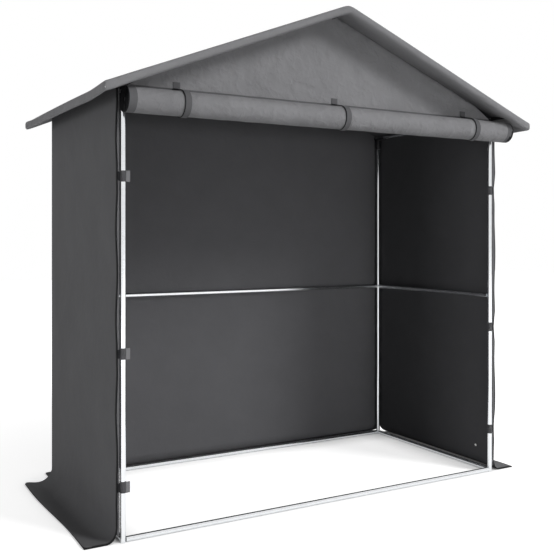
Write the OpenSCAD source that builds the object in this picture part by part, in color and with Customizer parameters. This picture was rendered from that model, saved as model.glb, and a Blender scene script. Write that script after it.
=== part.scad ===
// Bike shelter: a frame of round tubes with a pitched roof, a fitted cloth cover and a rolled-up front door.
// Lengths are in millimetres. The open front faces -Y, +X is to the right seen from the front, +Z is up,
// and the origin is on the ground at the middle of the plan.

/* [Frame] */
// Distance between the post axes, left to right
span_w = 2000; // [1400:10:2600]
// Distance between the post axes, front to back
span_d = 960; // [700:10:1400]
// Height of the eave purlins' axes
eave_z = 1842; // [1700:1:2100]
// Rise of the ridge bar's axis over the purlins' axes
ridge_rise = 396; // [250:1:600]
// Outside diameter of the frame tubes
tube_d = 22; // [19:0.5:32]
// Height of the mid rails' axes
rail_z = 920; // [600:10:1200]
// Gap between pieces that seat on each other
seat = 0.3; // [0.1:0.1:0.5]
// Gap between the ground and the bars and flaps that lie on it
ground_gap = 0.5; // [0.2:0.1:2]

/* [Corner fittings] */
// Reach of a fitting's arms from its corner
fitting_arm = 70; // [45:1:110]
// Wall of a fitting round its tube
fitting_wall = 2.6; // [2:0.1:5]
// Gap between a fitting and its tube
fitting_gap = 0.25; // [0.1:0.05:0.5]
// Web between a tube's end and the purlin that it meets
fitting_web = 1; // [0.5:0.1:3]
// Difference in radius between neighbouring arms of a fitting
fitting_step = 0.6; // [0.3:0.1:1.5]

/* [Roof] */
// Roof overhang past the post axes, front and back
over_y = 160; // [80:1:260]
// Roof overhang past the post axes, left and right
over_x = 128; // [80:1:200]
// Drop of the rim along the eaves
rim_drop = 40; // [35:1:80]
// Drop of the rim at the ridge
ridge_rim_drop = 32; // [31:1:80]

/* [Walls] */
// Thickness of the cover's cloth
cloth_t = 2; // [1:0.5:4]
// Distance from the post axes to the inner face of the walls
wall_off = 24; // [20:0.5:40]
// Bend radius at the foot of a wall
foot_bend = 70; // [30:1:120]
// Reach of the ground flaps past the post axes
flap_reach = 160; // [150:1:260]
// Gap round a tube that passes through a wall
notch_gap = 1; // [0.5:0.5:4]
// Thickness of the zip strips between the walls and the front posts
zip_t = 3; // [2:0.5:5]

/* [Rolled door] */
// Reach of the door panel past the post axes on each side
door_over = 33; // [10:1:50]
// Diameter of the rolled-up door
roll_d = 107; // [70:1:150]
// Drop of the roll's axis below the eave purlins' axes
roll_drop = 75; // [70:1:180]
// Sideways offset of the roll and its straps
roll_shift = 12; // [-20:1:20]

/* [Straps] */
// Thickness of the strap webbing
strap_t = 2; // [1:0.5:3]
// Distance of the outer roll straps inside the post axes
roll_strap_in = 215; // [100:5:400]
// Width of the straps round the roll
roll_strap_w = 30; // [15:1:45]
// Width of the tab that holds a roll strap
tab_w = 33; // [20:1:60]
// Height of the tab that holds a roll strap
tab_h = 27; // [15:1:40]
// Drop of the tabs' lower edges below the eave purlins' axes
tab_drop = 6; // [0:1:12]
// Angle below level at which a roll strap ends behind the roll
strap_end_angle = 20; // [15:1:60]
// Heights of the straps on the front posts
post_strap_z = [222, 756, 1468]; // [100:1:1700]
// Height of a post strap's band
post_strap_h = 45; // [20:1:70]
// Length of the loose end of a left post strap
strap_tail = 15; // [5:1:40]
// Distance of a post strap's link in front of the post axis
strap_link_y = 4; // [3:0.5:8]

/* [Wall studs] */
// Diameter of a stud
stud_d = 14; // [8:1:25]
// Thickness of a stud
stud_t = 3; // [1:0.5:5]
// Height of the studs
stud_z = 107; // [80:1:200]
// Distance of the studs behind the front post axes
stud_back = 126; // [60:1:300]

/* [Hidden] */
$fn = 48;

// Frame
tube_r = tube_d / 2;
half_w = span_w / 2;
half_d = span_d / 2;
slope = ridge_rise / half_w;
pitch = atan(slope);
ridge_z = eave_z + ridge_rise;
ground_bar_z = ground_gap + tube_r;
bar_end_gap = 2 * (tube_r + seat);
overrun = tube_d;

// Corner fittings
bore_r = tube_r + fitting_gap;
arm_r = bore_r + fitting_wall;
hub_r = arm_r + fitting_step;
tie_arm_r = arm_r - fitting_step;
bore_end = bore_r + fitting_web;
cut_w = 2 * (fitting_arm + overrun);
post_top = eave_z - bore_end - seat;
tie_len = span_w - 2 * (bore_end + seat);

// Roof
roof_x = half_w + over_x;
roof_y = half_d + over_y;
under_rise = (tube_r + seat) / cos(pitch);
top_rise = (tube_r + seat + cloth_t) / cos(pitch);
rafter_y = roof_y - cloth_t - seat - tube_r;
rafter_end_x = roof_x - cloth_t - seat;
eave_tube_x = rafter_end_x - tube_r;
roof_tube_len = 2 * (rafter_y - tube_r - seat);

// Height of the axes of the roof tubes at a distance x from the ridge
function roof_axis_z(x) = eave_z + (half_w - x) * slope;
// Heights of the roof cover's lower and upper faces there
function roof_under_z(x) = roof_axis_z(x) + under_rise;
function roof_top_z(x) = roof_axis_z(x) + top_rise;
rim_z = roof_top_z(roof_x) - rim_drop;

// Walls
wall_x = half_w + wall_off;
wall_y = half_d + wall_off;
wall_out_x = wall_x + cloth_t;
wall_low = ground_gap + foot_bend + seat;
wall_top = roof_under_z(wall_out_x) - seat;
side_len = half_d + wall_y - seat;
side_mid_y = (wall_y - seat - half_d) / 2;
gable_y = half_d + arm_r + seat;
gable_front_y = gable_y + cloth_t;
flap_run = flap_reach - wall_off - foot_bend;
notch_w = tube_d + 2 * notch_gap;
zip_top = eave_z - fitting_arm - seat;
zip_in = half_w + tube_r + strap_t + 2 * seat;
zip_w = wall_x - seat - zip_in;

// Rolled door and its straps
door_w = span_w + 2 * door_over;
roll_strap_pitch = half_w - roll_strap_in;
roll_z = eave_z - roll_drop;
tab_z = eave_z - tab_drop;
roll_r = roll_d / 2;
roll_y = gable_front_y + seat + roll_r;
strap_in_r = roll_r + seat;
strap_out_r = strap_in_r + strap_t;
tab_low = tab_z - roll_z;
tab_front = roll_r - strap_t;
tab_reach = norm([tab_front, tab_low]);
strap_lift_angle = atan2(tab_low, tab_front) + acos(strap_in_r / tab_reach);
strap_lift_len = sqrt(tab_reach ^ 2 - strap_in_r ^ 2) + strap_t;
strap_facets = 36;

// Post straps
band_in_r = tube_r + seat;
band_out_r = band_in_r + strap_t;
link_reach = wall_off - seat;

steel = "#c9ccce";
cloth_dark = "#4a4b4d";
cloth_pale = "#77787a";
webbing_black = "#2b2b2c";
fitting_black = "#232325";
stud_grey = "#9b9c9e";

// An outline in x and z, drawn out along Y about the middle
module along_y(length) {
    rotate([90, 0, 0]) linear_extrude(height = length, center = true) children();
}

// An outline in y and z, drawn out along X about the middle
module along_x(length) {
    rotate([90, 0, 90]) linear_extrude(height = length, center = true) children();
}

module tube_x(length) {
    color(steel) rotate([0, 90, 0]) cylinder(d = tube_d, h = length, center = true);
}

module tube_y(length) {
    color(steel) rotate([90, 0, 0]) cylinder(d = tube_d, h = length, center = true);
}

module post(side, depth) {
    color(steel) translate([side * half_w, depth * half_d, 0]) cylinder(d = tube_d, h = post_top);
}

module bar_across(depth, z) {
    translate([0, depth * half_d, z]) tube_x(span_w - bar_end_gap);
}

module bar_along(side, z) {
    translate([side * half_w, 0, z]) tube_y(span_d - bar_end_gap);
}

module tie_beam() {
    translate([0, -half_d, eave_z]) tube_x(tie_len);
}

module purlin(side) {
    translate([side * half_w, 0, eave_z]) tube_y(roof_tube_len);
}

module ridge_bar() {
    translate([0, 0, ridge_z]) tube_y(roof_tube_len);
}

module eave_tube(side) {
    translate([side * eave_tube_x, 0, roof_axis_z(eave_tube_x)]) tube_y(roof_tube_len);
}

// A rafter lies inside the roof's rim, mitred at the ridge and cut upright at the eave
module rafter(side, depth) {
    color(steel) intersection() {
        translate([0, depth * rafter_y, ridge_z]) rotate([0, side * (90 + pitch), 0])
            translate([0, 0, -overrun]) cylinder(d = tube_d, h = roof_x / cos(pitch) + 2 * overrun);
        translate([side * (rafter_end_x + seat) / 2, depth * rafter_y, 0])
            linear_extrude(height = ridge_z + overrun)
                square([rafter_end_x - seat, tube_d + overrun], center = true);
    }
}

// A fitting caps a post and cradles the purlin from below, and at the front it takes the end of the tie beam
module corner_fitting(holds_tie) {
    difference() {
        union() {
            translate([0, 0, -fitting_arm]) cylinder(r = arm_r, h = fitting_arm);
            translate([0, -fitting_arm, 0]) rotate([-90, 0, 0]) cylinder(r = hub_r, h = fitting_arm + arm_r);
            if (holds_tie)
                translate([-fitting_arm, 0, 0]) rotate([0, 90, 0]) cylinder(r = tie_arm_r, h = fitting_arm);
        }
        translate([0, 0, -fitting_arm - overrun]) cylinder(r = bore_r, h = fitting_arm + overrun - bore_end);
        rotate([90, 0, 0]) cylinder(r = bore_r, h = cut_w, center = true);
        if (holds_tie)
            translate([-fitting_arm - overrun, 0, 0]) rotate([0, 90, 0])
                cylinder(r = bore_r, h = fitting_arm + overrun - bore_end);
        translate([0, 0, hub_r]) cube([cut_w, cut_w, 2 * hub_r], center = true);
    }
}

module corner_fittings() {
    color(fitting_black) for (side = [0, 1], front = [0, 1])
        mirror([side, 0, 0]) mirror([0, front, 0])
            translate([half_w, half_d, eave_z]) corner_fitting(front == 1);
}

module roof_outline() {
    polygon([
        [-roof_x, rim_z], [-roof_x, roof_top_z(roof_x)], [0, roof_top_z(0)],
        [roof_x, roof_top_z(roof_x)], [roof_x, rim_z],
        [roof_x - cloth_t, rim_z], [roof_x - cloth_t, roof_under_z(roof_x - cloth_t)], [0, roof_under_z(0)],
        [cloth_t - roof_x, roof_under_z(roof_x - cloth_t)], [cloth_t - roof_x, rim_z]
    ]);
}

module rake_rim_outline() {
    polygon([
        [-roof_x, rim_z], [-roof_x, roof_top_z(roof_x)], [0, roof_top_z(0)],
        [roof_x, roof_top_z(roof_x)], [roof_x, rim_z], [0, roof_top_z(0) - ridge_rim_drop]
    ]);
}

module roof_cover() {
    color(cloth_dark) union() {
        along_y(2 * roof_y) roof_outline();
        for (depth = [-1, 1])
            translate([0, depth * (roof_y - cloth_t / 2), 0]) along_y(cloth_t) rake_rim_outline();
    }
}

// An end wall reaches up to the roof, with notches for the purlins and the ridge bar
module end_wall_outline(low) {
    difference() {
        polygon([
            [-wall_out_x, low], [-wall_out_x, wall_top], [0, roof_under_z(0) - seat],
            [wall_out_x, wall_top], [wall_out_x, low]
        ]);
        for (x = [-half_w, 0, half_w])
            translate([x - notch_w / 2, roof_axis_z(abs(x)) - notch_w / 2]) square([notch_w, 2 * notch_w]);
    }
}

module front_gable() {
    color(cloth_pale) translate([0, -gable_y - cloth_t / 2, 0]) along_y(cloth_t) end_wall_outline(roll_z);
}

module back_wall() {
    color(cloth_dark) translate([0, wall_y + cloth_t / 2, 0]) along_y(cloth_t) end_wall_outline(wall_low);
}

module side_wall(side) {
    color(cloth_dark) translate([side * (wall_x + cloth_t / 2), side_mid_y, wall_low])
        linear_extrude(height = wall_top - wall_low) square([cloth_t, side_len], center = true);
}

// A flap turns out of a wall's foot in a quarter bend and lies flat on the ground
module flap_outline() {
    translate([foot_bend, foot_bend]) intersection() {
        difference() {
            circle(r = foot_bend);
            circle(r = foot_bend - cloth_t);
        }
        translate([-foot_bend, -foot_bend]) square(foot_bend);
    }
    translate([foot_bend, 0]) square([flap_run, cloth_t]);
}

module side_flap(side) {
    color(cloth_dark) mirror([side < 0 ? 1 : 0, 0, 0])
        translate([wall_x, side_mid_y, ground_gap]) along_y(side_len) flap_outline();
}

module back_ground_flap() {
    color(cloth_dark) translate([0, wall_y, ground_gap]) along_x(2 * wall_out_x) flap_outline();
}

module zip_strip(side) {
    color(webbing_black) translate([side * (zip_in + zip_w / 2), -half_d, wall_low])
        linear_extrude(height = zip_top - wall_low) square([zip_w, zip_t], center = true);
}

module door_roll() {
    color(cloth_pale) translate([roll_shift, -roll_y, roll_z]) rotate([0, 90, 0])
        cylinder(d = roll_d, h = door_w, center = true);
}

// A roll strap leaves its tab, lies on the roll over the front and ends behind it; seen from the left end
module roll_strap_outline() {
    lift = [cos(strap_lift_angle), sin(strap_lift_angle)];
    to_tab = strap_lift_len * [lift.y, -lift.x];
    wrap = 360 - strap_end_angle - strap_lift_angle;
    turns = [for (i = [0:strap_facets]) strap_lift_angle + wrap * i / strap_facets];
    back = [for (i = [0:strap_facets]) turns[strap_facets - i]];
    polygon(concat(
        [strap_out_r * lift + to_tab],
        [for (a = turns) strap_out_r * [cos(a), sin(a)]],
        [for (a = back) strap_in_r * [cos(a), sin(a)]],
        [strap_in_r * lift + to_tab]
    ));
}

module roll_strap(place) {
    color(webbing_black) translate([place * roll_strap_pitch + roll_shift, -roll_y, roll_z]) union() {
        along_x(roll_strap_w) roll_strap_outline();
        along_x(tab_w) translate([tab_front, tab_low]) square([strap_t, tab_h]);
    }
}

// A post strap's band goes round the post, its link runs to the wall, and a loose end may stand inboard
module post_strap(tail) {
    linear_extrude(height = post_strap_h, center = true) {
        difference() {
            circle(r = band_out_r);
            circle(r = band_in_r);
        }
        difference() {
            translate([-band_out_r - tail, -strap_link_y - strap_t / 2])
                square([band_out_r + tail + link_reach, strap_t]);
            circle(r = band_in_r + strap_t / 2);
        }
    }
}

module post_straps(side, tail) {
    color(webbing_black) mirror([side < 0 ? 1 : 0, 0, 0])
        for (z = post_strap_z) translate([half_w, -half_d, z]) post_strap(tail);
}

module wall_studs() {
    color(stud_grey) for (side = [-1, 1])
        translate([side * (wall_x - seat - stud_t / 2), stud_back - half_d, stud_z])
            rotate([0, 90, 0]) cylinder(d = stud_d, h = stud_t, center = true);
}

post(-1, -1);  // front_left_post
post(1, -1);  // front_right_post
post(-1, 1);  // back_left_post
post(1, 1);  // back_right_post
bar_across(-1, ground_bar_z);  // front_ground_bar
bar_across(1, ground_bar_z);  // back_ground_bar
bar_along(-1, ground_bar_z);  // left_ground_bar
bar_along(1, ground_bar_z);  // right_ground_bar
bar_across(1, rail_z);  // back_mid_rail
bar_along(-1, rail_z);  // left_mid_rail
bar_along(1, rail_z);  // right_mid_rail
tie_beam();  // front_tie_beam
purlin(-1);  // left_purlin
purlin(1);  // right_purlin
ridge_bar();
rafter(-1, -1);  // front_left_rafter
rafter(1, -1);  // front_right_rafter
rafter(-1, 1);  // back_left_rafter
rafter(1, 1);  // back_right_rafter
eave_tube(-1);  // left_eave_tube
eave_tube(1);  // right_eave_tube
corner_fittings();
roof_cover();
front_gable();
back_wall();
side_wall(-1);  // left_wall
side_wall(1);  // right_wall
side_flap(-1);  // left_ground_flap
side_flap(1);  // right_ground_flap
back_ground_flap();
zip_strip(-1);  // left_zip_strip
zip_strip(1);  // right_zip_strip
door_roll();
roll_strap(-1);  // left_roll_strap
roll_strap(0);  // middle_roll_strap
roll_strap(1);  // right_roll_strap
post_straps(-1, strap_tail);  // left_post_straps
post_straps(1, 0);  // right_post_straps
wall_studs();
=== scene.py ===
"""Bike shelter: coated cloth over bright steel tubes, its front door rolled up under the gable."""

import math

import bmesh
import bpy
import numpy as np
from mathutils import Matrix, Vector


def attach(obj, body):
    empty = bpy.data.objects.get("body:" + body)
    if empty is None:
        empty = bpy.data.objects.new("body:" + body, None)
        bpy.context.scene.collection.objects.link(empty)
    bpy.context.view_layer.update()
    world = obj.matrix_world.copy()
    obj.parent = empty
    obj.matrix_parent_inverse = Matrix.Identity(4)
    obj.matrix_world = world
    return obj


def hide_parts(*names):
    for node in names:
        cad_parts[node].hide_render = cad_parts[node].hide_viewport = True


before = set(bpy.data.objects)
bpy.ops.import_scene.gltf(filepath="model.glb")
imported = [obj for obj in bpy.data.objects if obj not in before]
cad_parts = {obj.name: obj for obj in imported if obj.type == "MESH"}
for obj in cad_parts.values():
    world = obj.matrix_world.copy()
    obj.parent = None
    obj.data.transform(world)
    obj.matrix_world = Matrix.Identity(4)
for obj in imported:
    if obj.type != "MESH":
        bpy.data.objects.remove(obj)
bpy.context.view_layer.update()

# Sizes in metres, as the solids have them. The open front faces -Y.
HALF_W, HALF_D = 1.0, 0.48
TUBE_R = 0.011
EAVE_Z, RIDGE_Z = 1.842, 2.238
SLOPE = (RIDGE_Z - EAVE_Z) / HALF_W
PITCH = math.atan(SLOPE)
RAFTER_Y, EAVE_TUBE_X = 0.6267, 1.1147
WALL_X, WALL_Y = 1.025, 0.505
WALL_TOP = 1.8435
FOOT_BEND = 0.069
GROUND_LIFT = 0.0015
FLAP_RUN = 0.066
SIDE_FRONT, SIDE_BACK = -0.4795, 0.5035
GABLE_Y = -0.49515
ROLL_Y, ROLL_Z = -0.54995, 1.767
ROLL_LEFT, ROLL_RIGHT = -1.021, 1.045
STRAP_SPOTS = {"left": -0.773, "middle": 0.012, "right": 0.797}
POST_STRAP_Z = (0.222, 0.756, 1.468)
CLOTH = 0.0014
# slack of the cloth: the size of its swells and their height
WALL_SWELLS, FLAP_SWELLS, ROOF_SWELLS = (0.32, 0.012), (0.11, 0.009), (0.3, 0.009)
GABLE_SWELLS, ROLL_SWELLS = (0.06, 0.006), (0.045, 0.0026)
SIDES = ((-1, "left"), (1, "right"))


def linear(hex_code):
    """A colour written in sRGB, as the linear values that a shader takes."""
    parts = [int(hex_code[i:i + 2], 16) / 255 for i in (1, 3, 5)]
    return (*[c / 12.92 if c <= 0.04045 else ((c + 0.055) / 1.055) ** 2.4 for c in parts], 1.0)


# Lines of points


def arc(centre, radius, start, end, steps):
    """Points of an arc about a centre, by angles in degrees, without its first point."""
    turns = [math.radians(start + (end - start) * i / steps) for i in range(1, steps + 1)]
    return [(centre[0] + radius * math.cos(t), centre[1] + radius * math.sin(t)) for t in turns]


def circle(centre, radius):
    """Points of a full circle about a centre, 15 degrees apart, back to its first point."""
    return [(centre[0] + radius, centre[1])] + arc(centre, radius, 0, 360, 24)


def run(start, end, steps):
    """Points of a straight line, without its first point."""
    return [tuple(a + (b - a) * i / steps for a, b in zip(start, end)) for i in range(1, steps + 1)]


def spread(first, last, steps):
    """Values in equal steps from a first to a last one, with both."""
    return [first] + [value for (value,) in run((first,), (last,), steps)]


def lengths_along(line):
    """The length of a line of points up to each of them."""
    return [sum(math.dist(a, b) for a, b in zip(line[:k], line[1:k + 1])) for k in range(len(line))]


def near(value, edge, width):
    """0 at an edge, rising smoothly to 1 at a width from it."""
    t = min(max(abs(value - edge) / width, 0), 1)
    return t * t * (3 - 2 * t)


# Making of the pieces


def choose(piece):
    """Selects one piece alone and makes it the active one."""
    bpy.ops.object.select_all(action="DESELECT")
    piece.select_set(True)
    bpy.context.view_layer.objects.active = piece


def open_edit(piece, mode="VERT"):
    """Opens one piece alone in edit mode."""
    choose(piece)
    bpy.ops.object.mode_set(mode="EDIT")
    bpy.ops.mesh.select_mode(type=mode)


def pick_faces(piece, wanted):
    """Selects in edit mode the faces that lie where wanted says."""
    bpy.ops.mesh.select_all(action="DESELECT")
    form = bmesh.from_edit_mesh(piece.data)
    for face in form.faces:
        if all(wanted(v.co) for v in face.verts):
            face.select_set(True)
    form.select_flush_mode()
    bmesh.update_edit_mesh(piece.data)


def draw_sheet(name, section, across, shares):
    """A sheet: a section drawn from point to point, then drawn out in equal or given shares."""
    bpy.ops.object.select_all(action="DESELECT")
    bpy.ops.mesh.primitive_plane_add(size=0.01, location=section[0])
    bpy.ops.object.transform_apply(location=True)
    sheet = bpy.context.object
    sheet.name = sheet.data.name = name
    open_edit(sheet)
    bpy.ops.mesh.select_all(action="SELECT")
    bpy.ops.mesh.merge(type="CENTER")
    for here, there in zip(section, section[1:]):
        step = Vector(there) - Vector(here)
        bpy.ops.mesh.extrude_region_move(TRANSFORM_OT_translate={"value": step})
    bpy.ops.mesh.select_all(action="SELECT")
    for share in [1 / shares] * shares if isinstance(shares, int) else shares:
        step = Vector(across) * share
        bpy.ops.mesh.extrude_region_move(TRANSFORM_OT_translate={"value": step})
    bpy.ops.mesh.select_all(action="SELECT")
    bpy.ops.mesh.remove_doubles(threshold=0.00002)
    bpy.ops.mesh.normals_make_consistent(inside=False)
    bpy.ops.object.mode_set(mode="OBJECT")
    lay_threads(sheet, section, across)
    return sheet


def lay_threads(sheet, section, across):
    """A UV map in metres, along the section and across it, for the weave to follow."""
    mesh = sheet.data
    axis = np.array(Vector(across).normalized())
    line = np.array(section, float)
    line -= np.outer(line @ axis, axis)
    spots = np.array([v.co for v in mesh.vertices], float)
    level = spots - np.outer(spots @ axis, axis)
    starts, legs = line[:-1], np.diff(line, axis=0)
    lengths = np.linalg.norm(legs, axis=1)
    ends = np.concatenate([[0], np.cumsum(lengths)])
    best, along = np.full(len(spots), np.inf), np.zeros(len(spots))
    for start, leg, length, before in zip(starts, legs, lengths, ends):
        share = np.clip((level - start) @ leg / length ** 2, 0, 1)
        apart = np.linalg.norm(level - start - np.outer(share, leg), axis=1)
        closer = apart < best - 1e-9
        best[closer], along[closer] = apart[closer], before + share[closer] * length
    corners = np.zeros(len(mesh.loops), int)
    mesh.loops.foreach_get("vertex_index", corners)
    threads = mesh.uv_layers.new(name="threads")
    threads.data.foreach_set("uv", np.stack([along, spots @ axis], 1)[corners].ravel())


def turn_out(sheet, outward):
    """Turns an open sheet so that most of it faces outward, which is a direction at each place."""
    look = sum(f.normal.dot(outward(f.center)) * f.area for f in sheet.data.polygons)
    if look < 0:
        open_edit(sheet)
        bpy.ops.mesh.select_all(action="SELECT")
        bpy.ops.mesh.flip_normals()
        bpy.ops.object.mode_set(mode="OBJECT")


def apply_modifier(piece, kind, **settings):
    """Adds a modifier with its settings and applies it."""
    choose(piece)
    modifier = piece.modifiers.new(kind.title(), kind)
    for name, value in settings.items():
        setattr(modifier, name, value)
    bpy.ops.object.modifier_apply(modifier=modifier.name)


def ripple(piece, share, size, height, direction="NORMAL", middle=0.5):
    """Slack in a cloth: soft swells of one size, as strong at each place as share says there."""
    group = piece.vertex_groups.new(name="slack")
    for v in piece.data.vertices:
        group.add([v.index], share(v.co), "REPLACE")
    swell = bpy.data.textures.new("swell", "CLOUDS")
    swell.noise_scale, swell.noise_depth = size, 1
    apply_modifier(piece, "DISPLACE", texture=swell, texture_coords="LOCAL", direction=direction,
                   strength=height, mid_level=middle, vertex_group="slack")
    piece.vertex_groups.remove(piece.vertex_groups["slack"])


def thicken(sheet, thickness, inner=0):
    """Gives a sheet its thickness; inner moves the inner face to another of its materials."""
    apply_modifier(sheet, "SOLIDIFY", thickness=thickness, offset=0.0, use_even_offset=True,
                   material_offset=inner, use_quality_normals=True)


def smooth(piece, angle):
    """Shades a piece smooth, apart from edges sharper than an angle in degrees."""
    choose(piece)
    bpy.ops.object.shade_smooth_by_angle(angle=math.radians(angle))


def finish_piece(piece, slot, nodes, *finishes):
    """Sets a piece on the frame: its materials and the nodes that it stands for. Its finish slot is
    not used.
    """
    for finish in finishes:
        piece.data.materials.append(finish)
    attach(piece, "root")
    if nodes:
        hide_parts(*nodes)


# Materials, with the scale of each noise written as one over its size in metres

WAVE_STEP = 0.314  # between the bands of a wave texture at scale 1


def put(tree, kind, links=None, **settings):
    """One shader node with its settings, and for each named input a socket or a plain value."""
    made = tree.nodes.new("ShaderNode" + kind)
    for name, value in settings.items():
        setattr(made, name, value)
    for name, value in (links or {}).items():
        if isinstance(value, bpy.types.NodeSocket):
            tree.links.new(value, made.inputs[name])
        else:
            made.inputs[name].default_value = value
    return made


def new_material(name, roughness, **sockets):
    """A material with its plain values set on the shader's own sockets."""
    material = bpy.data.materials.new(name)
    material.use_nodes = True
    shader = material.node_tree.nodes["Principled BSDF"]
    shader.inputs["Roughness"].default_value = roughness
    for socket, value in sockets.items():
        shader.inputs[socket.replace("_", " ")].default_value = value
    return material, material.node_tree, shader


def shade_between(tree, factor, dark, pale):
    """A colour between two written ones, by a factor."""
    ramp = put(tree, "ValToRGB", {"Fac": factor})
    ramp.color_ramp.elements[0].color = linear(dark)
    ramp.color_ramp.elements[1].color = linear(pale)
    return ramp.outputs["Color"]


def coated_cloth(name, dark, pale, crease, gloss=0.15):
    """Plain-woven polyester with a matt coating: short creases, flat folds and faint clouding."""
    cloth, tree, shader = new_material(name, 0.78, Specular_IOR_Level=gloss,
                                       Sheen_Weight=gloss / 4, Sheen_Roughness=0.6)
    place = put(tree, "TexCoord").outputs
    clouding = put(tree, "TexNoise", {"Vector": place["Object"], "Scale": 1 / 0.16,
                                      "Detail": 5.0, "Roughness": 0.62})
    # threads 0.6 mm apart, drawn at 9 mm so that they show
    warp, weft = [put(tree, "TexWave", {"Vector": place["UV"], "Scale": WAVE_STEP / 0.009,
                                        "Distortion": 1.2}, bands_direction=way) for way in "XY"]
    weave = put(tree, "Math", {0: warp.outputs["Fac"], 1: weft.outputs["Fac"]},
                operation="MULTIPLY")
    shade = put(tree, "Math", {0: weave.outputs[0], 1: 0.8, 2: clouding.outputs["Fac"]},
                operation="MULTIPLY_ADD")
    # painted shade: darker where a sheet is marked as shaded under its rakes
    shade_under_rakes = put(tree, "Attribute", attribute_name="shade_under_rakes")
    colour = put(tree, "MixRGB", {"Fac": shade_under_rakes.outputs["Fac"],
                                  "Color1": shade_between(tree, shade.outputs[0], dark, pale),
                                  "Color2": linear("#4e4e50")})
    tree.links.new(colour.outputs["Color"], shader.inputs["Base Color"])
    threads = put(tree, "Bump", {"Height": weave.outputs[0], "Strength": 0.2, "Distance": 0.0006})
    # short creases about 40 mm apart, and flat folds about 110 mm across
    short = put(tree, "TexNoise", {"Vector": place["Object"], "Scale": 1 / 0.04,
                                   "Detail": 4.0, "Distortion": 0.4})
    sparse = put(tree, "MapRange", {"Value": short.outputs["Fac"],
                                    "From Min": 0.42, "From Max": 0.74})
    folds = put(tree, "TexNoise", {"Vector": place["Object"], "Scale": 1 / 0.11, "Detail": 2.0})
    creased = put(tree, "Bump", {"Height": sparse.outputs["Result"], "Strength": crease,
                                 "Distance": 0.005, "Normal": threads.outputs["Normal"]})
    folded = put(tree, "Bump", {"Height": folds.outputs["Fac"], "Strength": crease,
                                "Distance": 0.02, "Normal": creased.outputs["Normal"]})
    tree.links.new(folded.outputs["Normal"], shader.inputs["Normal"])
    return cloth


def galvanised_tube():
    """Zinc-coated steel tube, rolled bright: a soft mirror with a faint grain and clouding."""
    steel, tree, shader = new_material("galvanised_steel", 0.2, Metallic=1.0)
    place = put(tree, "TexCoord").outputs
    clouds = put(tree, "TexNoise", {"Vector": place["Object"], "Scale": 1 / 0.02,
                                    "Detail": 4.0, "Roughness": 0.6})
    tree.links.new(shade_between(tree, clouds.outputs["Fac"], "#dcdee0", "#eceef0"),
                   shader.inputs["Base Color"])
    rough = put(tree, "MapRange", {"Value": clouds.outputs["Fac"], "To Min": 0.1, "To Max": 0.2})
    tree.links.new(rough.outputs["Result"], shader.inputs["Roughness"])
    grain = put(tree, "TexNoise", {"Vector": place["Object"], "Scale": 1 / 0.003, "Detail": 2.0})
    skin = put(tree, "Bump", {"Height": grain.outputs["Fac"], "Strength": 0.015,
                              "Distance": 0.0003})
    tree.links.new(skin.outputs["Normal"], shader.inputs["Normal"])
    return steel


def ribbed_webbing(name, dark, pale, ribs_along="X", rib_step=0.003):
    """Woven polypropylene webbing: ribs one way, dull with a slight fibre sheen."""
    webbing, tree, shader = new_material(name, 0.7, Specular_IOR_Level=0.12, Sheen_Weight=0.05)
    place = put(tree, "TexCoord").outputs
    # ribs 1.2 mm apart, drawn at 3 to 9 mm so that they show
    weave = put(tree, "TexWave", {"Vector": place["UV"], "Scale": WAVE_STEP / rib_step,
                                  "Distortion": 0.6, "Detail": 1.0}, bands_direction=ribs_along)
    tree.links.new(shade_between(tree, weave.outputs["Fac"], dark, pale),
                   shader.inputs["Base Color"])
    raised = put(tree, "Bump", {"Height": weave.outputs["Fac"], "Strength": 0.5,
                                "Distance": 0.0008})
    tree.links.new(raised.outputs["Normal"], shader.inputs["Normal"])
    return webbing


def moulded_plastic(name, dark, pale, roughness, gloss):
    """Moulded plastic: near black, satin, with a fine sparked grain from the mould."""
    plastic, tree, shader = new_material(name, roughness, IOR=1.49, Specular_IOR_Level=gloss)
    place = put(tree, "TexCoord").outputs
    grain = put(tree, "TexNoise", {"Vector": place["Object"], "Scale": 1 / 0.0015, "Detail": 3.0})
    wear = put(tree, "TexNoise", {"Vector": place["Object"], "Scale": 1 / 0.03, "Detail": 4.0})
    tree.links.new(shade_between(tree, wear.outputs["Fac"], dark, pale),
                   shader.inputs["Base Color"])
    skin = put(tree, "Bump", {"Height": grain.outputs["Fac"], "Strength": 0.2, "Distance": 0.0003})
    tree.links.new(skin.outputs["Normal"], shader.inputs["Normal"])
    return plastic


def pressed_metal():
    """Nickel-plated press stud: bright, with a worn skin."""
    metal, tree, shader = new_material("nickel_plate", 0.3, Metallic=1.0)
    place = put(tree, "TexCoord").outputs
    wear = put(tree, "TexNoise", {"Vector": place["Object"], "Scale": 1 / 0.002, "Detail": 3.0})
    tree.links.new(shade_between(tree, wear.outputs["Fac"], "#b4b4b2", "#d8d8d6"),
                   shader.inputs["Base Color"])
    return metal


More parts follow.
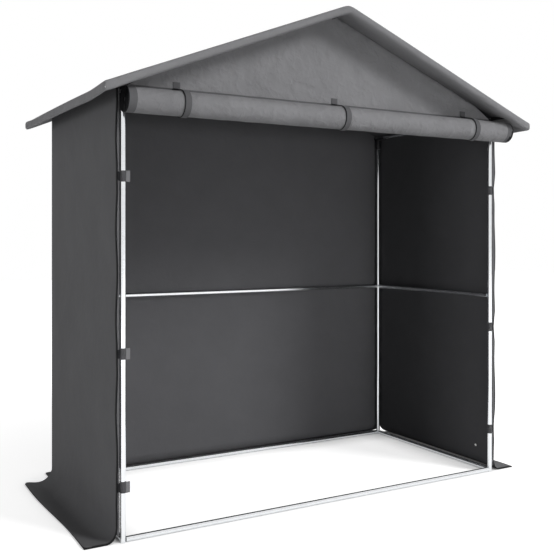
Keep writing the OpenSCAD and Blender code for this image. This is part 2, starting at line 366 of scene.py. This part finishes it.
# One coated polyester in several tones: the plain one is darker than the front's, as painted shade
# on the left and back walls, and the roof's is lighter, as painted light on the roof and the right
# wall
shade_toned_cloth = coated_cloth("coated_polyester", "#505052", "#5c5c5e", 0.1)
front_cloth = coated_cloth("coated_polyester_front", "#6a6a6c", "#828284", 0.65)
roof_cloth = coated_cloth("coated_polyester_lit_tone", "#727274", "#828284", 0.3)
inner_cloth = coated_cloth("black_coating", "#48484a", "#505052", 0.12, 0.04)
hem_and_shade_cloth = coated_cloth("coated_polyester_hem_and_shade", "#525254", "#5c5c5e", 0.1)
steel = galvanised_tube()
webbing = ribbed_webbing("polypropylene_webbing", "#545456", "#6c6c6e")
dark_webbing_and_shade = ribbed_webbing("black_webbing_and_painted_shade", "#1a1a1c", "#262628")
tab_webbing = ribbed_webbing("tab_webbing", "#545456", "#868688", "Y", 0.009)
band_webbing = ribbed_webbing("post_band_webbing", "#4a4a4c", "#a4a4a6", "X", 0.0075)
tail_webbing = ribbed_webbing("loop_tape", "#6c6c6e", "#8a8a8c")
binding_tape_and_shade = ribbed_webbing("binding_tape_and_shade", "#0e0e10", "#1c1c1e")
black_plastic = moulded_plastic("black_polypropylene", "#18181a", "#222224", 0.45, 0.3)
zip_nylon = moulded_plastic("black_nylon", "#0e0e10", "#161618", 0.6, 0.1)
stud_metal = pressed_metal()

TUBE_WORDS = ("post", "bar", "rail", "beam", "purlin", "rafter", "tube")
for name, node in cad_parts.items():
    if node.data.materials and any(word in name for word in TUBE_WORDS):
        node.data.materials[0] = steel
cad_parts["corner_fittings"].data.materials[0] = black_plastic


# Walls with their ground flaps

WALL_STEPS, BEND_STEPS, FLAP_STEPS = 44, 10, 6
SLACK_FOOT, SWAY_FOOT = 0.1, 0.09  # below these the cloth hangs straight
FRONT_SWAY = {-1: 0.001, 1: 0.0085}
SWAY_WAVE = 0.003
FOLD_PULL, FOLD_REACH = 0.016, FOOT_BEND + 0.03
FLAP_WAVE, FLAP_WAVE_LENGTH = 0.006, 0.98
FLAP_START, FLAP_SPAN = WALL_X + 0.02, FOOT_BEND + FLAP_RUN - 0.02
UNCUT_TOP = RIDGE_Z + 0.03  # of a gabled sheet, before it is cut to the roof
ROOF_UNDER = RIDGE_Z + (TUBE_R + 0.0001) / math.cos(PITCH)


def wall_line(top):
    """Section of a wall and its flap, from the top down: distance from its plane, and height."""
    turn = FOOT_BEND + GROUND_LIFT
    line = [(0.0, top)]
    line += run(line[-1], (0.0, turn), WALL_STEPS)
    line += arc((FOOT_BEND, turn), FOOT_BEND, 180, 270, BEND_STEPS)
    return line + run(line[-1], (FOOT_BEND + FLAP_RUN, GROUND_LIFT), FLAP_STEPS)


def wall_slack(place, across, first, last):
    """How far a wall may swell at a place: not near the ground, at the top or at the ends."""
    if not SLACK_FOOT < place.z < WALL_TOP:
        return 0
    upright = near(place.z, SLACK_FOOT, 0.5) * near(place.z, WALL_TOP, 0.3)
    return upright * near(across, first, 0.12) * near(across, last, 0.12)


def flap_slack(out, bend, z):
    """How far a flap may lift off the ground: only past the end of its bend."""
    return near(out, bend, 0.06) if out > bend and z < 0.01 else 0


def front_sway(side, z):
    """How far a side wall's front edge stands out between the straps that hold it to the post."""
    if not SWAY_FOOT < z < WALL_TOP:
        return 0
    share = near(z, SWAY_FOOT, 0.12) * near(z, WALL_TOP, 0.15)
    for strap in POST_STRAP_Z:
        share *= near(z, strap, 0.1)
    return share * (FRONT_SWAY[side] + SWAY_WAVE * math.sin(17 * z + side))


def fold_pull(x, y, z):
    """How far the fold above the ground is drawn in at a side wall's front corner."""
    if z > FOOT_BEND or abs(x) > WALL_X + FOLD_REACH:
        return 0
    bulge = math.sin(math.pi * min(max(abs(x) - WALL_X, 0) / FOLD_REACH, 1))
    return FOLD_PULL * bulge * (1 - near(y, SIDE_FRONT, 0.2))


def flap_sway(x, y):
    """How far a side flap's outer part lies out from its straight line."""
    if abs(x) <= FLAP_START:
        return 0
    wave = math.sin(2 * math.pi * y / FLAP_WAVE_LENGTH)
    return FLAP_WAVE * wave * near(abs(x), FLAP_START, FLAP_SPAN)


def settle(piece, side, share):
    """Moves a piece as a side wall's cloth lies; share says how much of the front sway it takes."""
    for v in piece.data.vertices:
        x, y, z = v.co
        v.co.x += side * (front_sway(side, z) * share(x, y) + flap_sway(x, y) - fold_pull(x, y, z))


def cut_to_roof(side):
    """Cuts the sheet in edit mode along one slope of the roof."""
    bpy.ops.mesh.select_all(action="SELECT")
    bpy.ops.mesh.bisect(plane_co=(0, 0, ROOF_UNDER), clear_outer=True,
                        plane_no=(side * math.sin(PITCH), 0, math.cos(PITCH)))


def finish_wall(wall, nodes, slack, flap, outward, cloth):
    """Gives a wall its slack, the lift of its flap, its cloth and its thickness."""
    turn_out(wall, lambda p: outward)
    ripple(wall, slack, *WALL_SWELLS)
    ripple(wall, flap, *FLAP_SWELLS, direction="Z", middle=0.0)
    apply_modifier(wall, "SUBSURF", levels=1, render_levels=1)
    finish_piece(wall, "cover_cloth", nodes, cloth, inner_cloth)
    thicken(wall, CLOTH, inner=1)
    smooth(wall, 60)


for side, name in SIDES:
    section = [(side * (WALL_X + d), SIDE_FRONT, z) for d, z in wall_line(WALL_TOP)]
    wall = draw_sheet(name + "_wall_cloth", section, (0, SIDE_BACK - SIDE_FRONT, 0), 26)
    settle(wall, side, lambda x, y: 1 - near(y, SIDE_FRONT, 0.22))
    # painted light and shade: the right wall takes the roof's lighter tone, the left wall the
    # darker plain one
    finish_wall(wall, (name + "_wall", name + "_ground_flap"),
                lambda p: wall_slack(p, p.y, SIDE_FRONT, SIDE_BACK),
                lambda p: flap_slack(abs(p.x), WALL_X + FOOT_BEND, p.z),
                Vector((side, 0, 0.5)), shade_toned_cloth if side < 0 else roof_cloth)

section = [(-WALL_X - 0.001, WALL_Y + d, z) for d, z in wall_line(UNCUT_TOP)]
back_wall = draw_sheet("back_wall_cloth", section, (2 * WALL_X + 0.002, 0, 0), 54)
open_edit(back_wall)
for side, name in SIDES:
    cut_to_roof(side)
bpy.ops.object.mode_set(mode="OBJECT")
finish_wall(back_wall, ("back_wall", "back_ground_flap"),
            lambda p: wall_slack(p, p.x, -WALL_X, WALL_X),
            lambda p: flap_slack(p.y, WALL_Y + FOOT_BEND, p.z),
            Vector((0, 1, 0.5)), shade_toned_cloth)


# Roof: one sheet over the ridge, turned down all round over the rafters and eave tubes and back in

ROOF_LIFT = TUBE_R + 0.0013
TUCKED = 0.003  # how far below the roof's line the turned edges begin
RING_DROP = 0.2  # between the rings of the turned edges, until they are laid in place
EDGE_STRIP = 0.014
RAKE_START, RAKE_STRIP = RAFTER_Y - 0.12, 0.12
EAVE_START, EAVE_STRIP = 0.9, 0.2
RIDGE_DIP = 0.004
CORNER_X = 0.93
END_WALL_Y = 0.46
# where the painted shade under the rakes lies: across y, along x, and how far out in x
SHADE_Y, SHADE_X, SHADE_END_X = (0.535, 0.605), (0.3, 0.85), 1.08
# how far the cloth stands off the front rafters, by x, off the back ones, and off the eaves, by y
FRONT_HANG = (-1.13, -1.0, 0.3, 0.8, 1.13), (0.0072, 0.0092, 0.0098, 0.0068, 0.0037)
BACK_HANG = 0.005
EAVE_HANG = ((-0.62, -0.52, -0.43, -0.2, 0.05, 0.3, 0.63),
             (0.001, 0.003, -0.0015, 0.001, 0.002, 0.002, 0))
# turned edges, from the tube's axis: how far out, and how far down from the roof
TURN_R = 0.0125
OVER_TUBE = [(TURN_R * math.sin(a), TURN_R * (1 - math.cos(a)))
             for a in [math.radians(18 * i) for i in range(6)]]
RAKE_TURN = OVER_TUBE + [
    (0.013, 0.0195), (0.012, 0.027), (0.0078, 0.0335), (0.0015, 0.0365), (-0.014, 0.0352),
    (-0.04, 0.029), (-0.07, 0.0205), (-0.1, 0.012), (-0.126, 0.0045)]
EAVE_TURN = OVER_TUBE + [
    (0.0128, 0.0225), (0.0126, 0.035), (0.0095, 0.04), (0.0035, 0.041), (-0.006, 0.0345),
    (-0.0125, 0.0262), (-0.016, 0.0175), (-0.019, 0.0095), (-0.0235, 0.0035)]
rake_run, eave_run = lengths_along(RAKE_TURN), lengths_along(EAVE_TURN)


def roof_height(x):
    """Height of the roof's cloth at a distance from the ridge, where it lies on the tubes."""
    slope = RIDGE_Z + ROOF_LIFT / math.cos(PITCH) - SLOPE * min(abs(x), EAVE_TUBE_X)
    return min(RIDGE_Z + ROOF_LIFT, slope)


def roof_hang(x, y):
    """How far the cloth stands above that: over the rafters, and in slow waves along the eaves."""
    over_rafter = np.interp(x, *FRONT_HANG) if y < 0 else BACK_HANG
    over_rafter -= RIDGE_DIP * (1 - near(x, 0, 0.02))
    rafter_share = near(abs(y), RAKE_START, RAKE_STRIP) if abs(y) > RAKE_START else 0
    eave_share = near(abs(x), EAVE_START, EAVE_STRIP) if abs(x) > EAVE_START else 0
    return float(over_rafter * rafter_share + np.interp(y, *EAVE_HANG) * eave_share)


def roof_slack(place):
    """How far the roof may swell: not over the ridge, the purlins, the end walls or past them."""
    if abs(place.x) >= HALF_W or abs(place.y) >= END_WALL_Y:
        return 0
    return (near(place.x, 0, 0.3) * near(abs(place.x), HALF_W, 0.3)
            * near(abs(place.y), END_WALL_Y, 0.3))


half_line = [0.0, 0.003, 0.008, 0.02, *spread(0.05, EAVE_TUBE_X - EDGE_STRIP, 24), EAVE_TUBE_X]
roof_line = [(x, roof_height(x)) for x in [-x for x in half_line[:0:-1]] + half_line]
edge_share = EDGE_STRIP / (2 * RAFTER_Y)
roof = draw_sheet("roof_cloth", [(x, -RAFTER_Y, z) for x, z in roof_line], (0, 2 * RAFTER_Y, 0),
                  [edge_share] + [(1 - 2 * edge_share) / 30] * 30 + [edge_share])
open_edit(roof, "EDGE")
bpy.ops.mesh.select_all(action="SELECT")
bpy.ops.mesh.region_to_loop()
for _ in RAKE_TURN[1:]:
    bpy.ops.mesh.extrude_region_move(TRANSFORM_OT_translate={"value": (0, 0, -RING_DROP)})
bpy.ops.mesh.select_all(action="SELECT")
bpy.ops.mesh.normals_make_consistent(inside=False)
bpy.ops.object.mode_set(mode="OBJECT")
threads = {}
for v in roof.data.vertices:
    x, y = v.co.x, v.co.y
    ring = round((roof_height(x) - v.co.z) / RING_DROP)
    on_rake = abs(abs(y) - RAFTER_Y) < 0.0001
    on_eave = abs(abs(x) - EAVE_TUBE_X) < 0.0001
    if ring:
        (rake_out, rake_drop), (eave_out, eave_drop) = RAKE_TURN[ring], EAVE_TURN[ring]
        to_corner = near(abs(x), CORNER_X, EAVE_TUBE_X - CORNER_X) if abs(x) > CORNER_X else 0
        if on_eave:
            to_corner = 1
        v.co.x, v.co.y = x * (1 + eave_out / EAVE_TUBE_X), y * (1 + rake_out / RAFTER_Y)
        v.co.z = roof_height(v.co.x) - rake_drop - (eave_drop - rake_drop) * to_corner
    v.co.z += roof_hang(x, y) * min(1, (len(RAKE_TURN) - 1 - ring) / 5)
    past_eave = math.copysign(eave_run[ring], x) if on_eave else 0
    past_rake = math.copysign(rake_run[ring], y) if on_rake else 0
    threads[v.index] = ((x + EAVE_TUBE_X) / math.cos(PITCH) + past_eave, y + past_rake)
for corner in roof.data.loops:
    roof.data.uv_layers["threads"].data[corner.index].uv = threads[corner.vertex_index]
turn_out(roof, lambda p: Vector((0, 0, 1 if p.z > roof_height(p.x) - TUCKED else 0)))
ripple(roof, roof_slack, *ROOF_SWELLS, direction="Z", middle=1.0)
apply_modifier(roof, "SUBSURF", levels=1, render_levels=1)
finish_piece(roof, "cover_cloth", ("roof_cover",), roof_cloth, inner_cloth)
# painted shade: darker below the roof's line, the more so further in and lower down; it is meant as
# the shade on the turned edges under the rakes, and also takes in the slopes where they sag most
shade_under_rakes = roof.data.attributes.new("shade_under_rakes", "FLOAT", "POINT")
for v in roof.data.vertices:
    x, y, z = v.co
    if abs(x) < SHADE_END_X and z < roof_height(x) - TUCKED:
        further_in = np.interp(abs(y), SHADE_Y, (1, 0))
        lower_down = np.interp(abs(x), SHADE_X, (0, 1))
        shade_under_rakes.data[v.index].value = float(further_in * lower_down)
apply_modifier(roof, "SOLIDIFY", thickness=CLOTH, offset=0.0, material_offset=1)
smooth(roof, 60)


# Front gable, with the seam that holds the door along its foot, drawn darker as painted shade where
# the roll meets it

SEAM_SHADE_TOP = 1.8365
GAP_X, GAP_SLOPE = 0.87, SLOPE + 0.24  # from here outwards it hangs a little clear of the roof

gable = draw_sheet("gable_cloth", [(-WALL_X, GABLE_Y, z) for z in spread(ROLL_Z, UNCUT_TOP, 24)],
                   (2 * WALL_X, 0, 0), 100)
open_edit(gable)
bpy.ops.mesh.select_all(action="SELECT")
bpy.ops.mesh.bisect(plane_co=(0, 0, SEAM_SHADE_TOP), plane_no=(0, 0, 1))
for side, name in SIDES:
    cut_to_roof(side)
    bpy.ops.mesh.select_all(action="SELECT")
    bpy.ops.mesh.bisect(plane_co=(side * GAP_X, 0, ROOF_UNDER - GAP_X * SLOPE), clear_outer=True,
                        plane_no=(side * GAP_SLOPE, 0, 1))
bpy.ops.object.mode_set(mode="OBJECT")
turn_out(gable, lambda p: Vector((0, -1, 0)))
ripple(gable, lambda p: near(p.z, ROLL_Z, 0.08), *GABLE_SWELLS)
finish_piece(gable, "front_cloth", ("front_gable",), front_cloth, inner_cloth, hem_and_shade_cloth)
# painted shade: the strip below the seam takes the darker hem cloth, for the shade just above the
# roll
for face in gable.data.polygons:
    if face.center.z < SEAM_SHADE_TOP:
        face.material_index = 2
thicken(gable, CLOTH, inner=1)
smooth(gable, 60)


# Door, rolled up outwards from its lower edge into a spiral of nine turns

TURN_STEP, HALF_TURNS = 0.00235, 18
OUTER_TURN = 0.0523
EDGE_Y = ROLL_Y + 0.0525
CENTRE_Y = EDGE_Y - OUTER_TURN
ROLL_WIDTH = ROLL_RIGHT - ROLL_LEFT
END_STRIPS = (0.005, 0.006, 0.010, 0.017)  # across the hem at each end, from the end in
PLAIN_STRIPS = 66
HEM_WIDTH = 0.038
SEAM_RUN = 0.03

radii = [OUTER_TURN - TURN_STEP * (HALF_TURNS - 1 - i) for i in range(HALF_TURNS)]
joints = [EDGE_Y]
for i in reversed(range(HALF_TURNS)):
    joints.append(joints[-1] + (-2 if i % 2 else 2) * radii[i])
joints.reverse()
line = [(joints[0], ROLL_Z)]
for i in range(HALF_TURNS):
    start = 180 * (i % 2)
    line += arc(((joints[i] + joints[i + 1]) / 2, ROLL_Z), radii[i], start, start + 180, 12)
line += run(line[-1], (EDGE_Y, ROLL_Z + SEAM_RUN), 3)
end_shares = [strip / ROLL_WIDTH for strip in END_STRIPS]
plain_share = (1 - 2 * sum(end_shares)) / PLAIN_STRIPS
door = draw_sheet("door_cloth", [(ROLL_LEFT, y, z) for y, z in line], (ROLL_WIDTH, 0, 0),
                  end_shares + [plain_share] * PLAIN_STRIPS + end_shares[::-1])
turn_out(door, lambda p: Vector((0, p.y - CENTRE_Y, p.z - ROLL_Z)))


def roll_slack(place):
    """Only the outer turn swells, and not behind, under the straps or at the ends."""
    inside = math.hypot(place.y - CENTRE_Y, place.z - ROLL_Z) < OUTER_TURN - 0.004
    behind = place.z > ROLL_Z and place.y > CENTRE_Y + 0.045
    if inside or behind:
        return 0
    share = near(place.x, ROLL_LEFT, 0.08) * near(place.x, ROLL_RIGHT, 0.08)
    for spot in STRAP_SPOTS.values():
        share *= near(place.x, spot, 0.06)
    return share


ripple(door, roll_slack, *ROLL_SWELLS)
finish_piece(door, "front_cloth", ("door_roll",), front_cloth, hem_and_shade_cloth, zip_nylon)
for face in door.data.polygons:
    inset = min(face.center.x - ROLL_LEFT, ROLL_RIGHT - face.center.x)
    # painted shade: on the right end the black edge is drawn wider lower down on the roll, for the
    # shade under that end
    drop = ROLL_Z - face.center.z if face.center.x > 0 else 0
    zip_and_shade_width = 0.021 if drop > 0.028 else 0.011 if drop > 0.006 else 0.004
    face.material_index = 2 if inset < zip_and_shade_width else 1 if inset < HEM_WIDTH else 0
thicken(door, CLOTH)
smooth(door, 60)


# Straps round the roll, each from a tab on the gable, and round the front posts

STRAP_R = 0.0557
STRAP_WIDTH, STRAP_SHARES = 0.03, [0.12, 0.26, 0.24, 0.26, 0.12]
STRAP_Y, TAB_Y = GABLE_Y - 0.003, GABLE_Y - 0.0042
STRAP_TOP = (1.861, 1.853, 1.845)
STRAP_LEAN = 0.004  # each strap runs a little to the right on its way from the tab to the roll
STRAP_SHADE_EDGE = 0.0115  # further left than this from its middle it is black, as painted shade along the strap's left edge
STRAP_END = 340
TAB_WIDTH, TAB_FOOT, TAB_TOP = 0.033, 1.836, 1.863
BAND_R = TUBE_R + 0.0013
BAND_HEIGHT, LINK_HEIGHT = 0.045, 0.036
STRAP_THICK, TAB_THICK, BAND_THICK, TAIL_THICK = 0.0026, 0.0016, 0.0018, 0.0022
LINK_Y = -HALF_D - 0.004
LINK_OUT = (0.013, 0.018, 0.0236)  # out from the post's axis
# loose tails, in from the post's axis and forward of it
TAIL = ((0.0085, 0.0112), (0.0125, 0.0106), (0.017, 0.0098), (0.0215, 0.0094), (0.026, 0.0094))


def strap_piece(name, section, across, steps, thickness, finish, slot="webbing", nodes=()):
    """A strap or tape: a sheet with its thickness and slightly rounded edges."""
    strap = draw_sheet(name, section, across, steps)
    finish_piece(strap, slot, nodes, finish)
    thicken(strap, thickness)
    apply_modifier(strap, "BEVEL", width=0.0004, segments=2, limit_method="ANGLE",
                   angle_limit=math.radians(60))
    smooth(strap, 40)
    return strap


apart = math.hypot(STRAP_Y - ROLL_Y, TAB_FOOT - ROLL_Z)
lean = math.atan2(TAB_FOOT - ROLL_Z, STRAP_Y - ROLL_Y) + math.acos(STRAP_R / apart)
touch_angle = math.degrees(lean) + 0.1
touch = arc((ROLL_Y, ROLL_Z), STRAP_R, touch_angle, touch_angle, 1)[0]
for place, x in STRAP_SPOTS.items():
    tab_x, ring_x = x - STRAP_LEAN, x + STRAP_LEAN
    ring_left = ring_x - STRAP_WIDTH / 2
    line = [(tab_x - STRAP_WIDTH / 2, STRAP_Y, z) for z in (*STRAP_TOP, TAB_FOOT)]
    line += run(line[-1], (ring_left, *touch), 6)
    round_roll = arc((ROLL_Y, ROLL_Z), STRAP_R, touch_angle, STRAP_END, 40)
    line += [(ring_left, y, z) for y, z in round_roll]
    strap = strap_piece(place + "_roll_strap_webbing", line, (STRAP_WIDTH, 0, 0), STRAP_SHARES,
                        STRAP_THICK, webbing, nodes=(place + "_roll_strap",))
    strap.data.materials.append(dark_webbing_and_shade)
    # painted shade: only the strap's left edge is black
    for face in strap.data.polygons:
        if face.center.x < ring_x - STRAP_SHADE_EDGE:
            face.material_index = 1
    tab = [(tab_x - TAB_WIDTH / 2, TAB_Y, z) for z in spread(TAB_FOOT, TAB_TOP, 4)]
    strap_piece(place + "_roll_tab", tab, (TAB_WIDTH, 0, 0), 4, TAB_THICK, tab_webbing)

for side, name in SIDES:
    bands = []
    for z in POST_STRAP_Z:
        low, link_low = z - BAND_HEIGHT / 2, z - LINK_HEIGHT / 2
        ring = [(x, y, low) for x, y in circle((side * HALF_W, -HALF_D), BAND_R)]
        bands.append(strap_piece(f"{name}_post_band_{len(bands)}", ring, (0, 0, BAND_HEIGHT), 6,
                                 BAND_THICK, band_webbing))
        link = [(side * (HALF_W + d), LINK_Y, link_low) for d in LINK_OUT]
        bands.append(strap_piece(f"{name}_post_link_{len(bands)}", link, (0, 0, LINK_HEIGHT), 6,
                                 BAND_THICK, dark_webbing_and_shade))
        if side < 0:
            tail = [(side * (HALF_W - d), -HALF_D - y, low) for d, y in TAIL]
            bands.append(strap_piece(f"{name}_post_tail_{len(bands)}", tail, (0, 0, BAND_HEIGHT),
                                     6, TAIL_THICK, tail_webbing))
    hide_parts(name + "_post_straps")


# Zip strips, bindings, sleeves and studs

ZIP_X, ZIP_Y, ZIP_FOOT = 1.016, -HALF_D - 0.001, 0.026
ZIP_WIDTH, ZIP_LENGTH, ZIP_THICK = 0.0085, 1.7448, 0.0016
TOOTH_X, TOOTH_FOOT, TOOTH_SIZE = 1.0145, 0.029, (0.004, 0.0034, 0.0026)
TOOTH_STEP, TOOTH_COUNT = 0.005, 349
BINDING_Y, BINDING_WIDTH, BINDING_THICK = SIDE_FRONT - 0.003, 0.012, 0.005
FLAP_BINDING_WIDTH, FLAP_BINDING_THICK = 0.0125, 0.0034
SLEEVE_R, SLEEVE_THICK = TUBE_R + 0.0002, 0.0006
SLEEVE_START, SLEEVE_LENGTH = 0.4975, 0.112
STUD_X, STUD_Y, STUD_Z = 1.0222, -0.354, 0.107
STUD_R, STUD_DEPTH = 0.007, 0.003

for side, name in SIDES:
    tape = [(x, ZIP_Y, ZIP_FOOT) for x in spread(side * (WALL_X - 0.0005), side * ZIP_X, 3)]
    strip = strap_piece(name + "_zip_tape", tape, (0, 0, ZIP_LENGTH), 62, ZIP_THICK, hem_and_shade_cloth,
                        "zip_tape", (name + "_zip_strip",))
    settle(strip, side, lambda x, y: (abs(x) - ZIP_X) / ZIP_WIDTH)
    bpy.ops.object.select_all(action="DESELECT")
    bpy.ops.mesh.primitive_cube_add(size=1, location=(side * TOOTH_X, ZIP_Y, TOOTH_FOOT))
    teeth = bpy.context.object
    teeth.name = teeth.data.name = name + "_zip_teeth"
    teeth.scale = TOOTH_SIZE
    bpy.ops.object.transform_apply(location=True, rotation=True, scale=True)
    apply_modifier(teeth, "BEVEL", width=0.0007, segments=1)
    apply_modifier(teeth, "ARRAY", count=TOOTH_COUNT, use_relative_offset=False,
                   use_constant_offset=True, constant_offset_displace=(0, 0, TOOTH_STEP))
    finish_piece(teeth, "zip_tape", (), zip_nylon)
    smooth(teeth, 30)

for side, name in SIDES:
    # lifted on the flap, to lie on the ground with its lower face
    line = [(side * (WALL_X + d), BINDING_Y, z + (0.0011 if z < 0.002 else 0))
            for d, z in wall_line(WALL_TOP)]
    bound = strap_piece(name + "_front_binding", line, (0, BINDING_WIDTH, 0), 2, BINDING_THICK,
                        binding_tape_and_shade)
    settle(bound, side, lambda x, y: 1)
    flap_edge = side * (WALL_X + FOOT_BEND + FLAP_RUN - FLAP_BINDING_WIDTH)
    line = [(flap_edge, y, GROUND_LIFT + 0.0006) for y in spread(SIDE_FRONT, SIDE_BACK, 30)]
    bound = strap_piece(name + "_flap_binding", line, (side * FLAP_BINDING_WIDTH, 0, 0), 2,
                        FLAP_BINDING_THICK, binding_tape_and_shade)
    settle(bound, side, lambda x, y: 0)

# black sleeves on the tubes that run out under the roof's overhang, black as painted shade for the
# deep shade there
for name, x, z in (("ridge", 0.0, RIDGE_Z), ("left_purlin", -HALF_W, EAVE_Z),
                   ("right_purlin", HALF_W, EAVE_Z)):
    for end, end_name in ((-1, "front"), (1, "back")):
        ring = [(a, end * SLEEVE_START, b) for a, b in circle((x, z), SLEEVE_R)]
        strap_piece(f"{end_name}_{name}_sleeve", ring, (0, end * SLEEVE_LENGTH, 0), 4,
                    SLEEVE_THICK, binding_tape_and_shade)

for side, name in SIDES:
    bpy.ops.object.select_all(action="DESELECT")
    bpy.ops.mesh.primitive_cylinder_add(vertices=24, radius=STUD_R, depth=STUD_DEPTH,
                                        location=(side * STUD_X, STUD_Y, STUD_Z),
                                        rotation=(0, math.pi / 2, 0))
    bpy.ops.object.transform_apply(location=True, rotation=True, scale=True)
    stud = bpy.context.object
    stud.name = stud.data.name = name + "_press_stud"
    open_edit(stud, "FACE")
    pick_faces(stud, lambda p: side * p.x < STUD_X - 0.0014)
    bpy.ops.mesh.inset(thickness=0.002, depth=0.0)
    bpy.ops.mesh.inset(thickness=0.0012, depth=-0.001)
    bpy.ops.object.mode_set(mode="OBJECT")
    apply_modifier(stud, "BEVEL", width=0.0007, segments=3, limit_method="ANGLE")
    finish_piece(stud, "stud_metal", ("wall_studs",) if side < 0 else (), stud_metal)
    smooth(stud, 30)


# Floor, light and camera

FLOOR_Z = -0.0006  # just under the flaps
ROOM_LIGHT = 0.13  # of the white room on the cloth, beside 1 where it is seen


def seen_directly(tree):
    """1 for what the camera sees itself or mirrored in the bright tubes, else 0."""
    path = put(tree, "LightPath").outputs
    seen = put(tree, "Math", {0: path["Is Camera Ray"], 1: path["Is Glossy Ray"]},
               operation="MAXIMUM")
    return seen.outputs[0]


def pale_floor():
    """Matt white floor that the camera and the bright tubes see near white, with a faint shadow and
    painted shade in its nooks.
    """
    floor_paint, tree, shader = new_material("white_floor", 0.9, Specular_IOR_Level=0.0)
    shader.inputs["Base Color"].default_value = linear("#e6e6e6")
    shader.inputs["Emission Color"].default_value = linear("#ffffff")
    # whiter further from the object, where less of the lamps' light falls
    away = put(tree, "VectorMath", {0: put(tree, "TexCoord").outputs["Object"]}, operation="LENGTH")
    white = put(tree, "MapRange", {"Value": away.outputs["Value"], "From Min": 1.2,
                                   "From Max": 4.0, "To Min": 0.76, "To Max": 0.98})
    # and painted shade: its glow dimmed by ambient occlusion in the nooks under the cloth and
    # beside the walls
    nook_shade = put(tree, "AmbientOcclusion", {"Distance": 0.2})
    white = put(tree, "Math", {0: white.outputs["Result"], 1: nook_shade.outputs["AO"]},
                operation="MULTIPLY")
    glow = put(tree, "Math", {0: seen_directly(tree), 1: white.outputs[0]}, operation="MULTIPLY")
    tree.links.new(glow.outputs[0], shader.inputs["Emission Strength"])
    return floor_paint


bpy.ops.object.select_all(action="DESELECT")
bpy.ops.mesh.primitive_plane_add(size=40, location=(0, 0, FLOOR_Z))
floor = bpy.context.object
floor.name = floor.data.name = "floor"
floor.data.materials.append(pale_floor())

world = bpy.data.worlds.new("studio")
bpy.context.scene.world = world
world.use_nodes = True
tree = world.node_tree
strength = put(tree, "MapRange", {"Value": seen_directly(tree),
                                  "To Min": ROOM_LIGHT, "To Max": 1.0})
tree.links.new(strength.outputs["Result"], tree.nodes["Background"].inputs["Strength"])
tree.nodes["Background"].inputs["Color"].default_value = linear("#ffffff")

# softboxes: name, place, width, height, power, beam in degrees, and where they point
SOFTBOXES = (("front_softbox", (12.2, -17.3, 13.8), 7.0, 7.0, 4380, 180, (0, 0, 1.1)),
             ("low_softbox", (0.2, -7.0, 0.5), 3.2, 1.6, 19.5, 36, (0.1, 0.5, 0.55)),
             ("left_softbox", (-9.4, -2.1, 1.5), 1.8, 2.5, 214, 180, (0, 0, 1.1)),
             ("back_softbox", (1.5, 6.0, 3.0), 3.0, 3.0, 40, 180, (0, 0, 1.1)))
for name, place, width, height, power, beam, aim in SOFTBOXES:
    bpy.ops.object.light_add(type="AREA", location=place)
    softbox = bpy.context.object
    softbox.name = name
    softbox.data.shape, softbox.data.size, softbox.data.size_y = "RECTANGLE", width, height
    softbox.data.energy, softbox.data.spread = power, math.radians(beam)
    softbox.visible_glossy = False  # the tubes show the white room, not the lamps
    softbox.rotation_euler = (Vector(aim) - softbox.location).to_track_quat("-Z", "Y").to_euler()

bpy.ops.object.camera_add(location=(-2.110, -3.627, 1.2206),
                          rotation=(math.radians(90), 0, math.radians(-30.09)))
camera = bpy.context.object
camera.data.sensor_width, camera.data.lens = 36.0, 53.15
camera.data.shift_y = -0.0706
camera.data.clip_end = 100
bpy.context.scene.camera = camera
bpy.context.scene.view_settings.view_transform = "Standard"
